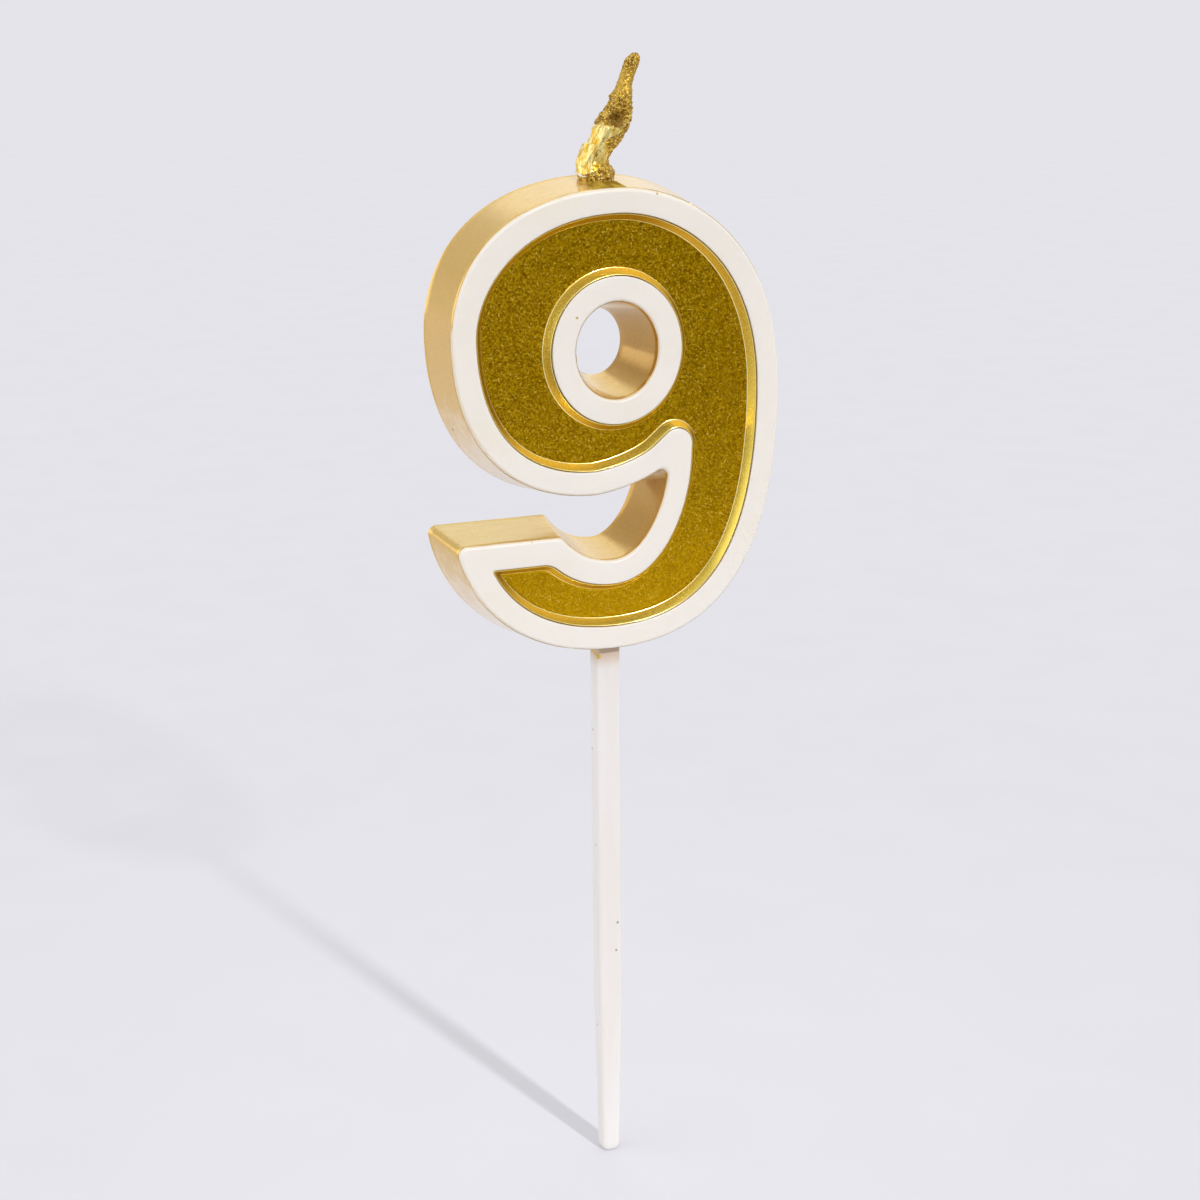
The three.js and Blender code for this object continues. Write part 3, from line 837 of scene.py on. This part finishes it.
def white_border(name, ring_at, width, wall_inset, node):
    """A white wax border: drafted outer wall, rounded front edge, flat face and a softened inner edge."""
    wall = spread((wall_inset(BORDER_DEPTH), BORDER_DEPTH), (0, BORDER_ROUNDING), 2)
    face_end = width - INNER_ROUNDING
    face = spread((BORDER_ROUNDING + SUPPORT, 0), (face_end, 0), 4)
    inner_edge = [(width - inset, depth) for inset, depth in reversed(edge_arc(INNER_ROUNDING, 5))]
    foot = [(width, BORDER_DEPTH - SUPPORT), (width, BORDER_DEPTH)]
    return band(name, ring_at, wall + edge_arc(BORDER_ROUNDING, 12) + face + inner_edge + foot, WAX, node)


# Where the white wax shows past the face's edge on the outer wall, as round patches seen from the front:
# (x of the middle, z of the middle, reach, depth to which the wax shows)
WHITE_WRAPS = (
    (-17.5, PICK_LENGTH + 30.5, 10.3, 0.75),
    (2.0, CROWN_TOP, 9.0, 0.6),
    (46.0, PICK_LENGTH + 27, 34.0, 0.6),
    (-13.0, PICK_LENGTH + 4, 7.5, 0.7),
    (-3.6, PICK_LENGTH + 12, 2.6, 0.5),
)
WRAP_FADE = 1.3
COAT_THICKNESS = 0.03
COAT_EDGE = 0.3
COAT_TUCK = 0.1


def paint_line(x, z):
    """The depth at which the gold coat starts on the outer wall, with a slow and a quick waver."""
    line = COAT_EDGE
    for centre_x, centre_z, reach, depth in WHITE_WRAPS:
        inside = (reach - math.hypot(x - centre_x, z - centre_z)) / WRAP_FADE
        line = max(line, COAT_EDGE + (depth - COAT_EDGE) * min(max(inside, 0.0), 1.0))
    slow = noise.noise(Vector((x, z, 0)) * 0.45) * 0.05
    quick = noise.noise(Vector((x, z, 9)) * 1.6) * 0.02
    return line + (slow + quick)


def coat_levels(ring_at, start, wall_inset, end):
    """The levels of a coated wall, from the coat's uneven front edge to a depth near the back."""
    rows = 16
    crowding_to_front = 1.7
    field = RingField(ring_at, wall_inset(DIGIT_DEPTH) - 0.1, BORDER_ROUNDING + 0.3)
    inset_of = np.vectorize(lambda depth: edge_inset(depth, wall_inset))
    tucked = inset_of(start) + COAT_TUCK
    made = [(field.at(np.full(len(start), wall_inset(BORDER_DEPTH) + COAT_TUCK)), BORDER_DEPTH)]
    made.append((field.at(tucked), start + 0.02))
    for share in np.linspace(0, 1, rows) ** crowding_to_front:
        depth = start + (end - start) * share
        made.append((field.at(inset_of(depth) - COAT_THICKNESS), depth))
    return made


def coated_body():
    """The wax body in its gold coat, which laps over the white borders. Its front lies behind the panel."""
    outline = digit_ring(0)
    outer = levels(digit_ring, [(BORDER_WIDTH, PANEL_BACK), (BORDER_WIDTH, BORDER_DEPTH)])
    start = np.array([paint_line(x, z) for x, z in outline])
    back_wall = side_inset(DIGIT_DEPTH) - COAT_THICKNESS
    outer += coat_levels(digit_ring, start, side_inset, DIGIT_DEPTH - BACK_ROUNDING)
    rounding = [(back_wall + inset, DIGIT_DEPTH - rise) for inset, rise in edge_arc(BACK_ROUNDING)[1:]]
    outer += levels(digit_ring, rounding + [(back_wall + BACK_ROUNDING + SUPPORT, DIGIT_DEPTH)])
    inner = levels(counter_ring, [(COUNTER_BORDER_WIDTH, PANEL_BACK), (COUNTER_BORDER_WIDTH, BORDER_DEPTH)])
    start = np.array([COAT_EDGE + noise.noise(Vector((x, z, 0)) * 0.6) * 0.06 for x, z in counter_ring(0)])
    inner += coat_levels(counter_ring, start, counter_inset, DIGIT_DEPTH - SUPPORT)
    inner += levels(counter_ring, [(counter_inset(DIGIT_DEPTH), DIGIT_DEPTH)])
    inner += levels(counter_ring, [(counter_inset(DIGIT_DEPTH) + SUPPORT, DIGIT_DEPTH)])
    return plate("digit_shell", outer, inner, COAT, "digit_body")


def recess_profile(width):
    """The recess beside a border: floor, fillet, sloping wall, rounded lip and groove below the white."""
    floor_edge = width + WALL_RUN
    slope = math.atan2(RECESS_DEPTH - SUPPORT, WALL_RUN - GROOVE_WIDTH)
    profile = [(floor_edge + FILLET + SUPPORT, RECESS_DEPTH)]
    steps = 6
    for i in range(steps + 1):
        angle = slope * i / steps
        centre = (floor_edge + FILLET * math.tan(slope / 2), RECESS_DEPTH - FILLET)
        profile.append((centre[0] - FILLET * math.sin(angle), centre[1] + FILLET * math.cos(angle)))
    lip = (width + GROOVE_WIDTH + LIP_ROUNDING * math.tan(slope / 2), SUPPORT + LIP_ROUNDING)
    for i in range(steps + 1):
        angle = slope * (1 - i / steps)
        profile.append((lip[0] + LIP_ROUNDING * math.sin(angle), lip[1] - LIP_ROUNDING * math.cos(angle)))
    profile += [(width + GROOVE_WIDTH / 2, GROOVE_DEPTH), (width, PANEL_BACK)]
    return profile


def gold_panel():
    """The sunk panel: its flat floor has the flaky paint and its slopes have the smoother one."""
    outer = levels(digit_ring, recess_profile(BORDER_WIDTH))
    inner = levels(counter_ring, recess_profile(COUNTER_BORDER_WIDTH))
    panel = plate("gold_face", outer, inner, PANEL, "gold_panel")
    panel.data.materials.append(SLOPE)
    flat = 0.97
    for face in panel.data.polygons:
        face.material_index = 0 if abs(face.normal.y) > flat else 1


# The wick's bends, its thickness and the foil's right edge, each a list of (height above the crown, value)
WICK_LINE = (
    (-1.0, WICK_SHIFT),
    (0.9, WICK_SHIFT),
    (2.2, WICK_SHIFT - 0.1),
    (4.3, 1.05),
    (7.0, 2.4),
    (9.0, 3.15),
    (11.0, 3.7),
    (WICK_HEIGHT, 4.95),
)
SLEEVE_RADII = ((0.4, 1.95), (2.3, 1.6), (4.3, 1.95), (5.7, 2.15), (6.6, 2.1), (7.4, 1.7))
STEM_RADII = (
    (5.0, 1.7),
    (6.4, 2.12),
    (7.1, 1.98),
    (8.4, 1.48),
    (9.8, 1.2),
    (10.5, 0.97),
    (12.0, 0.85),
    (13.1, 0.86),
    (13.8, 0.62),
    (WICK_HEIGHT, 0.2),
)
FOIL_EDGE = ((0.5, -40), (1.3, 24), (2.4, 64), (3.6, 25), (4.7, 12), (5.3, 40), (6.2, 60))

# The side of the wick that the photo shows, in degrees from the right and over the back
VIEWED_FROM = 249


def eased(places, at):
    """A smooth curve through a short list of (station, value) places."""
    stations = [place[0] for place in places]
    values = [place[1] for place in places]
    if at <= stations[0]:
        return values[0]
    if at >= stations[-1]:
        return values[-1]
    last = len(places) - 1
    i = next(k for k in range(last) if at <= stations[k + 1])
    slopes = []
    for k in (i, i + 1):
        before, after = max(k - 1, 0), min(k + 1, last)
        slopes.append((values[after] - values[before]) / (stations[after] - stations[before]))
    gap = stations[i + 1] - stations[i]
    t = (at - stations[i]) / gap
    first = values[i] * (1 + 2 * t) * (1 - t) ** 2 + slopes[0] * gap * t * (1 - t) ** 2
    second = values[i + 1] * t**2 * (3 - 2 * t) + slopes[1] * gap * t**2 * (t - 1)
    return first + second


def roughness_at(x, y, z, scale, octaves=3):
    """Repeatable noise between about -1 and 1 at a place in millimetres."""
    return noise.fractal(Vector((x, y, z)) * scale, 0.6, 2.1, octaves)


def bump_at(value, centre, spread_out):
    """A smooth bump: 1 at the centre, fading over the spread."""
    return math.exp(-(((value - centre) / spread_out) ** 2))


def turn_gap(angle, centre):
    """The shortest way round from one angle to another, in degrees."""
    return (angle - centre + 180) % 360 - 180


def lump(name, heights, radius_at_place, material, nodes=(), around=150):
    """A closed rough tube along the wick's line. Angles run from the right, over the back, in degrees."""
    points = []
    for z in heights:
        for i in range(around):
            angle = 360 * i / around
            out = heading(angle)
            radius = radius_at_place(angle, z)
            x = eased(WICK_LINE, z) + out[0] * radius
            points.append(Vector((x, WICK_Y + out[1] * radius, WICK_FOOT + z)) * MM)
    count = len(heights)
    faces = wall_faces(count, around, 0, False)
    for level in (0, count - 1):
        centre = Vector((eased(WICK_LINE, heights[level]), WICK_Y, WICK_FOOT + heights[level])) * MM
        points.append(centre)
        first = level * around
        for i in range(around):
            faces.append((first + i, first + (i + 1) % around, len(points) - 1))
    piece = make_piece(name, points, faces, material)
    if nodes:
        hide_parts(*nodes)
    return piece


def step(value, edge, softness):
    """0 below an edge, 1 above it, with a short soft rise between."""
    t = min(max((value - edge) / softness + 0.5, 0.0), 1.0)
    return t * t * (3 - 2 * t)


def wick_stem():
    """The upper wick: wax crumbs at its foot and tip, smoother between, with a hollow at the front.

    Each feature has a size in millimetres, a height above the crown and a turn from the side that shows.
    """

    def radius(angle, z):
        out = heading(angle)
        rough = 0.08 + 0.2 * bump_at(z, 7.8, 1.5) + 0.1 * bump_at(z, 13.3, 0.9)
        crumbs = roughness_at(out[0] * 1.6, out[1] * 1.6, z, 1.9, 4) * rough
        hollow = 0.95 * bump_at(z, 6.9, 0.65) * bump_at(turn_gap(angle, VIEWED_FROM + 4), 0, 30)
        knob = 0.4 * bump_at(z, 9.4, 0.33) * bump_at(turn_gap(angle, VIEWED_FROM - 64), 0, 22)
        ridge = 0.072 * math.cos(math.radians(2 * angle + 25 * z))
        crease = 0.2 * bump_at(turn_gap(angle, VIEWED_FROM + 22), 0, 6) * bump_at(z, 8.4, 1.2)
        return max(eased(STEM_RADII, z) + crumbs - hollow + knob + ridge - crease, 0.08)

    heights = np.linspace(STEM_RADII[0][0], WICK_HEIGHT, 170)
    lump("wick_stem", heights, radius, CRUMBLE, ("wick_core", "wick_upper_coat"))


def foil_rim(angle):
    """How high the foil reaches: higher on the left than on the right."""
    return 5.8 - 0.6 * math.cos(math.radians(angle))


def foil_cover(angle, z):
    """1 where the foil covers the lower wick and 0 where its crumbs show, at the right and above the rim."""
    turn = turn_gap(angle, VIEWED_FROM)
    ragged = roughness_at(math.radians(angle) * 2, 0, z, 2.2, 2)
    beside = 1 - step(turn + 8 * ragged, eased(FOIL_EDGE, z), 4)
    below = 1 - step(z + 0.2 * ragged, foil_rim(angle), 0.12)
    return beside * below


def foil_flap(angle, z):
    """How far the foil's loose end stands off the wick, from its hem to its flat top on the left."""
    turn = turn_gap(angle, VIEWED_FROM)
    seam = 4 * z - 12
    lift = 0.14 + 0.36 * step(-turn, 45, 70)
    top, fade = (4.1, 0.12) if turn < -30 else (5.0, 1.6)
    inside = (1 - step(turn, seam, 5)) * (1 - step(-turn, 150, 10))
    return lift * inside * step(z, 0.55, 0.12) * (1 - step(z, top, fade))


def wick_sleeve():
    """The foil wrapped round the lower wick, with a loose end on the left and crumbs at its right."""

    def radius(angle, z):
        out = heading(angle)
        cover = foil_cover(angle, z)
        flats = 0.07 * math.cos(math.radians(3 * angle + 40))
        folds = roughness_at(out[0] * 1.8, out[1] * 1.8, z * 0.4, 1.1, 3) * 0.14
        crumbs = roughness_at(out[0] * 2, out[1] * 2, z, 2.4, 4) * 0.2 - 0.1
        end = step(z, 6.3, 0.9) * 0.6
        surface = eased(SLEEVE_RADII, z) + flats + folds * cover + crumbs * (1 - cover)
        return surface + foil_flap(angle, z) - end

    around = 150
    heights = np.linspace(0.3, 7.0, 130)
    sleeve = lump("wick_sleeve", heights, radius, CRUMBLE, ("wick_lower_coat",), around)
    sleeve.data.materials.append(FOIL)
    for i, face in enumerate(sleeve.data.polygons):
        level, place = divmod(i, around)
        if level < len(heights) - 1 and foil_cover(360 * place / around, heights[level]) > 0.5:
            face.material_index = 1


def wick_foot():
    """Wax and gold squeezed out round the wick's foot, thickest on the right."""

    def radius(angle, z):
        out = heading(angle)
        crumbs = roughness_at(out[0] * 2, out[1] * 2, z, 1.7, 4) * 0.16
        blob = 0.25 * bump_at(turn_gap(angle, 350), 0, 50) * bump_at(z, 1.0, 0.9)
        waist = 0.5 * max(z - 0.7, 0) ** 0.8
        return 2.08 + crumbs + blob - waist

    heights = np.linspace(-0.25, 2.2, 50)
    lump("wick_foot", heights, radius, CRUMBLE, ("wick_collar",))


def wax_thread():
    """A short strand of white wax that lies against the left of the wick's foot."""
    steps, around = 24, 10
    stands_off = 2.3
    points = []
    for i in range(steps + 1):
        share = i / steps
        out = heading(VIEWED_FROM - 88 + 62 * share)
        thickness = 0.02 + 0.13 * math.sin(math.pi * share) ** 0.5
        height = 0.62 - 0.14 * share + 0.12 * math.sin(6 * share)
        for k in range(around):
            side = heading(360 * k / around)
            reach = stands_off + thickness * side[0]
            x = WICK_SHIFT + out[0] * reach
            y = WICK_Y + out[1] * reach
            points.append(Vector((x, y, WICK_FOOT + height + thickness * side[1])) * MM)
    faces = wall_faces(steps + 1, around, 0, False)
    for level in (0, steps):
        faces.append(tuple(range(level * around, (level + 1) * around)))
    make_piece("wax_thread", points, faces, WAX)


def pick_ring(width, largest_corner, z):
    """A level square ring with rounded corners, in millimetres."""
    steps = 8
    corner = min(largest_corner, 0.45 * width)
    half = width / 2 - corner
    points = []
    for quarter in range(4):
        side_x = half if quarter in (0, 3) else -half
        side_y = half if quarter < 2 else -half
        for i in range(steps + 1):
            out = heading(90 * (quarter + i / steps))
            points.append(Vector((side_x + corner * out[0], side_y + corner * out[1], z)) * MM)
    return points


def cake_pick():
    """The white pick: rounded tip, short taper and a long straight square shank."""
    sections = []
    tip_steps = 8
    for i in range(tip_steps):
        angle = math.radians(90 * i / tip_steps)
        width = PICK_TIP_WIDTH + (PICK_END_WIDTH - PICK_TIP_WIDTH) * math.sin(angle)
        sections.append((width, PICK_TIP_ROUND * (1 - math.cos(angle))))
    for share in np.linspace(0, 1, 12):
        width = PICK_END_WIDTH + (PICK_WIDTH - PICK_END_WIDTH) * share
        sections.append((width, PICK_TIP_ROUND + (PICK_TAPER - PICK_TIP_ROUND) * share))
    sections += [(PICK_WIDTH, z) for z in np.linspace(PICK_TAPER, PICK_LENGTH + PICK_SEAT, 40)[1:]]
    points = []
    for width, z in sections:
        points += pick_ring(width, PICK_CORNER, z)
    around = len(points) // len(sections)
    faces = wall_faces(len(sections), around, 0, False)
    faces.append(tuple(range(around)))
    faces.append(tuple(range(len(points) - around, len(points))))
    make_piece("white_pick", points, faces, PLASTIC, "cake_pick")


def studio():
    """A pale floor that starts just in front of what the photo shows."""
    near, far = -0.24, 60.0
    mesh = bpy.data.meshes.new("floor")
    corners = [(-far, near, 0), (far, near, 0), (far, far, 0), (-far, far, 0)]
    mesh.from_pydata(corners, [], [(0, 1, 2, 3)])
    floor = bpy.data.objects.new("floor", mesh)
    mesh.materials.append(floor_finish())
    bpy.context.scene.collection.objects.link(floor)


def sun(name, direction, strength, spread_degrees):
    """A distant lamp that shines from a direction."""
    lamp = bpy.data.lights.new(name, "SUN")
    lamp.energy = strength
    lamp.angle = math.radians(spread_degrees)
    holder = bpy.data.objects.new(name, lamp)
    holder.rotation_euler = Vector(direction).to_track_quat("Z", "Y").to_euler()
    bpy.context.scene.collection.objects.link(holder)


def surround():
    """Soft light from above, brightest behind on the right and at the left, with dark low down in front."""
    world = bpy.data.worlds.new("surround")
    bpy.context.scene.world = world
    n = Nodes(world)
    direction = n.parts(n.add("TexCoord").outputs["Generated"])
    x, y, z = (direction[axis] for axis in "XYZ")

    rear = n.ramp(y, 0.2, 0.6)
    right = n.ramp(x, -0.16, 0.04)
    low_rear = n.product(rear, n.ramp(z, 0.5, 0.75, 1.0, 0.0))
    left_rear = n.product(low_rear, n.opposite(right))
    dimmed = n.product(left_rear, n.ramp(z, 0.0, 0.3, 0.18, 0.34))
    above = n.product(n.ramp(z, -0.25, 0.0, 0.5, 0.84), n.opposite(dimmed))
    behind = n.product(rear, right, n.ramp(z, 0.0, 0.2, 0.0, 0.25))

    on_left = n.ramp(x, -0.72, -0.6, 1.0, 0.0)
    strip = n.product(on_left, n.ramp(y, -0.45, -0.15), n.ramp(z, 0.5, 0.65, 1.0, 0.0))

    in_front = n.ramp(y, -0.75, -0.15, 1.0, 0.0)
    low = n.ramp(z, 0.1, 0.7, 1.0, 0.0)
    dark = n.product(in_front, low, n.ramp(x, -0.6, -0.5))
    room = n.product(n.maths("ADD", above, behind), n.ramp(dark, 0.0, 1.0, 1.0, 0.04))
    level = n.maths("ADD", room, strip)
    grey = n.add("CombineColor")
    for channel in ("Red", "Green", "Blue"):
        n.link(level, grey.inputs[channel])
    path = n.add("LightPath")
    seen = n.mix(path.outputs["Is Camera Ray"], grey.outputs["Color"], BACKGROUND)
    n.link(seen, n.tree.nodes["Background"].inputs["Color"])


def camera():
    """The photo's camera, as fitted to the candle's outline."""
    place = Vector((-0.09408, -0.24357, 0.14944))
    turn, tilt, roll = math.radians(21), math.radians(15.911), math.radians(0.53)
    focal_pixels = 2212.8
    frame_pixels = 1200
    flat = math.cos(tilt)
    forward = Vector((math.sin(turn) * flat, math.cos(turn) * flat, -math.sin(tilt)))
    level = Vector((math.cos(turn), -math.sin(turn), 0))
    upright = level.cross(forward)
    right = level * math.cos(roll) - upright * math.sin(roll)
    up = level * math.sin(roll) + upright * math.cos(roll)
    data = bpy.data.cameras.new("camera")
    data.sensor_width = 36
    data.lens = data.sensor_width * focal_pixels / frame_pixels
    data.clip_start = 0.01
    data.clip_end = 200
    holder = bpy.data.objects.new("camera", data)
    bpy.context.scene.collection.objects.link(holder)
    turned = Matrix((right, up, -forward)).transposed().to_4x4()
    holder.matrix_world = Matrix.Translation(place) @ turned
    bpy.context.scene.camera = holder


WAX = ivory_wax()
COAT = champagne_coat()
PANEL = panel_gold()
SLOPE = slope_gold()
FOIL = foil_gold()
CRUMBLE = crumbly_gold()
PLASTIC = white_plastic()

coated_body()
white_border("white_rim", digit_ring, BORDER_WIDTH, side_inset, "outer_border")
white_border("white_ring", counter_ring, COUNTER_BORDER_WIDTH, counter_inset, "counter_border")
gold_panel()
wick_stem()
wick_sleeve()
wick_foot()
wax_thread()
cake_pick()

studio()
sun("key", (0.205, -0.855, 0.477), 1.62, 3)
surround()
camera()
bpy.context.scene.view_settings.view_transform = "Standard"
